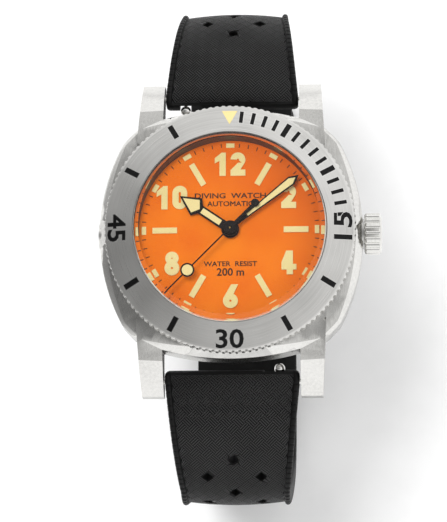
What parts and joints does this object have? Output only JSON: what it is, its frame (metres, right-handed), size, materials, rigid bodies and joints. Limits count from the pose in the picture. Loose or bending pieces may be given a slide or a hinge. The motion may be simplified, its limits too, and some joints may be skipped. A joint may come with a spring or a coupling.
{
  "type": "dive watch",
  "caption": "Automatic dive watch: steel cushion case with lugs, turning bezel, domed crystal, orange dial, fluted winder and gas valve, on a rubber strap with a pin buckle.",
  "frame": {"origin": "centre of the outer face of the case back", "axes": "+Z out through the dial, +Y to 12 o'clock, +X to the winder at 3 o'clock"},
  "size_m": [0.0419, 0.0771, 0.0654],
  "materials": {
    "brushed_case": "brushed, satin",
    "polished_steel": "polished",
    "movement_steel": "fine grained",
    "brass": "gilt",
    "black_metal": "satin black",
    "flange_black": "satin black",
    "black_enamel": "enamel fill",
    "orange_dial": "matte lacquer",
    "lume": "matte luminous paint",
    "black_rubber": "matte",
    "seal": "satin",
    "white_seal": "matte",
    "sapphire": "clear, polished",
    "ruby": "polished",
    "spring_blue": "blued",
    "plastic_ring": "matte"
  },
  "bodies": {
    "case": {"mid_case": "brushed_case", "case_back": "brushed_case", "case_back_gasket": "seal", "crown_tube": "brushed_case", "valve_bushing": "brushed_case", "crystal": "sapphire", "crystal_gasket": "white_seal", "rehaut_ring": "flange_black", "bezel_spring": "polished_steel", "bezel_click_spring": "polished_steel", "movement_ring": "plastic_ring", "case_clamps": "polished_steel", "dial": "orange_dial", "dial_markers": "lume", "main_plate": "movement_steel", "train_bridge": "movement_steel", "barrel_bridge": "movement_steel", "balance_cock": "movement_steel", "pallet_bridge": "movement_steel", "jewels": "ruby", "bridge_screws": "movement_steel", "rotor_bearing": "movement_steel", "hairspring": "spring_blue"},
    "bezel": {"bezel": "brushed_case", "bezel_markings": "black_enamel", "bezel_pip": "lume"},
    "crown_slider": {"crown_gasket": "seal"},
    "crown": {"crown": "polished_steel", "winding_stem": "polished_steel"},
    "clutch": {"clutch_wheel": "movement_steel"},
    "gas_valve": {"helium_valve": "polished_steel"},
    "minute": {"minute_hand": "black_metal", "minute_lume": "lume", "cannon_pinion": "movement_steel", "centre_wheel": "brass"},
    "hour": {"hour_hand": "black_metal", "hour_lume": "lume", "hour_wheel": "brass"},
    "seconds": {"seconds_hand": "black_metal", "seconds_lume": "lume", "fourth_wheel": "brass"},
    "third": {"third_wheel": "brass"},
    "escape": {"escape_wheel": "movement_steel"},
    "fork": {"pallet_fork": "movement_steel"},
    "balance": {"balance_wheel": "brass"},
    "barrel": {"barrel": "brass", "mainspring": "spring_blue"},
    "minute_work": {"minute_wheel": "brass"},
    "rotor": {"rotor": "movement_steel", "rotor_weight": "movement_steel"},
    "strap_short": {"strap_short": "black_rubber", "spring_bar_12": "polished_steel", "fixed_keeper": "black_rubber"},
    "release_12": {"release_pin_12": "polished_steel"},
    "keeper": {"loose_keeper": "black_rubber"},
    "buckle": {"buckle_frame": "brushed_case"},
    "tang": {"buckle_tang": "polished_steel"},
    "strap_long": {"strap_long": "black_rubber", "spring_bar_6": "polished_steel"},
    "release_6": {"release_pin_6": "polished_steel"}
  },
  "joints": [
    {"name": "bezel_turn", "type": "hinge", "parent": "case", "child": "bezel", "pos_m": [0, 0, 0.009], "axis": [0, 0, 1], "continuous": true},
    {"name": "crown_pull", "type": "slide", "parent": "case", "child": "crown_slider", "axis": [1, 0, 0], "range_m": [0, 0.0016]},
    {"name": "crown_turn", "type": "hinge", "parent": "crown_slider", "child": "crown", "pos_m": [0.02, 0, 0.0045], "axis": [1, 0, 0], "continuous": true},
    {"name": "clutch_turn", "type": "hinge", "parent": "case", "child": "clutch", "pos_m": [0.009, 0, 0.0045], "axis": [1, 0, 0], "continuous": true},
    {"name": "valve_slide", "type": "slide", "parent": "case", "child": "gas_valve", "axis": [-1, 0, 0], "range_m": [0, 0.0004], "stiffness_N_per_m": 300, "springref_m": -0.001},
    {"name": "minute_turn", "type": "hinge", "parent": "case", "child": "minute", "pos_m": [0, 0, 0.005], "axis": [0, 0, -1], "continuous": true},
    {"name": "hour_turn", "type": "hinge", "parent": "case", "child": "hour", "pos_m": [0, 0, 0.005], "axis": [0, 0, -1], "continuous": true},
    {"name": "seconds_turn", "type": "hinge", "parent": "case", "child": "seconds", "pos_m": [0, 0, 0.005], "axis": [0, 0, -1], "continuous": true},
    {"name": "third_turn", "type": "hinge", "parent": "case", "child": "third", "pos_m": [-0.00487, 0.00086, 0.005], "axis": [0, 0, -1], "continuous": true},
    {"name": "escape_turn", "type": "hinge", "parent": "case", "child": "escape", "pos_m": [0.00391, 0.00274, 0.005], "axis": [0, 0, -1], "continuous": true},
    {"name": "barrel_turn", "type": "hinge", "parent": "case", "child": "barrel", "pos_m": [0.00312, -0.0054, 0.005], "axis": [0, 0, -1], "continuous": true},
    {"name": "minute_work_turn", "type": "hinge", "parent": "case", "child": "minute_work", "pos_m": [-0.00226, -0.00082, 0.005], "axis": [0, 0, -1], "continuous": true},
    {"name": "fork_rock", "type": "hinge", "parent": "case", "child": "fork", "pos_m": [0.00272, 0.00549, 0.0048], "axis": [0, 0, 1], "range_deg": [-5, 5]},
    {"name": "balance_swing", "type": "hinge", "parent": "case", "child": "balance", "pos_m": [0.00157, 0.00815, 0.0038], "axis": [0, 0, 1], "range_deg": [-270, 270], "stiffness_Nm_per_rad": 0.0000008},
    {"name": "rotor_turn", "type": "hinge", "parent": "case", "child": "rotor", "pos_m": [0, 0, 0.0017], "axis": [0, 0, -1], "continuous": true},
    {"name": "strap_short_fold", "type": "hinge", "parent": "case", "child": "strap_short", "pos_m": [0, 0.0216, 0.0021], "axis": [1, 0, 0], "range_deg": [-5, 60]},
    {"name": "strap_long_fold", "type": "hinge", "parent": "case", "child": "strap_long", "pos_m": [0, -0.0216, 0.0021], "axis": [-1, 0, 0], "range_deg": [-5, 75]},
    {"name": "release_12_slide", "type": "slide", "parent": "strap_short", "child": "release_12", "axis": [1, 0, 0], "range_m": [0, 0.0014], "stiffness_N_per_m": 200, "springref_m": -0.001},
    {"name": "release_6_slide", "type": "slide", "parent": "strap_long", "child": "release_6", "axis": [-1, 0, 0], "range_m": [0, 0.0014], "stiffness_N_per_m": 200, "springref_m": -0.001},
    {"name": "keeper_slide", "type": "slide", "parent": "strap_short", "child": "keeper", "axis": [0, 0.9962, 0.0872], "range_m": [0, 0.0055]},
    {"name": "buckle_fold", "type": "hinge", "parent": "strap_short", "child": "buckle", "pos_m": [0, 0.00304, -0.03488], "axis": [1, 0, 0], "range_deg": [-10, 30]},
    {"name": "tang_fold", "type": "hinge", "parent": "buckle", "child": "tang", "pos_m": [0, 0.00304, -0.03488], "axis": [1, 0, 0], "range_deg": [0, 70]}
  ],
  "couplings": [
    {"joint": "hour_turn", "follows": "minute_turn", "ratio": 0.083333},
    {"joint": "seconds_turn", "follows": "minute_turn", "ratio": 60},
    {"joint": "third_turn", "follows": "minute_turn", "ratio": -8},
    {"joint": "escape_turn", "follows": "minute_turn", "ratio": -720},
    {"joint": "barrel_turn", "follows": "minute_turn", "ratio": -0.14286},
    {"joint": "minute_work_turn", "follows": "minute_turn", "ratio": -0.33333},
    {"joint": "clutch_turn", "follows": "crown_turn", "ratio": 1}
  ]
}
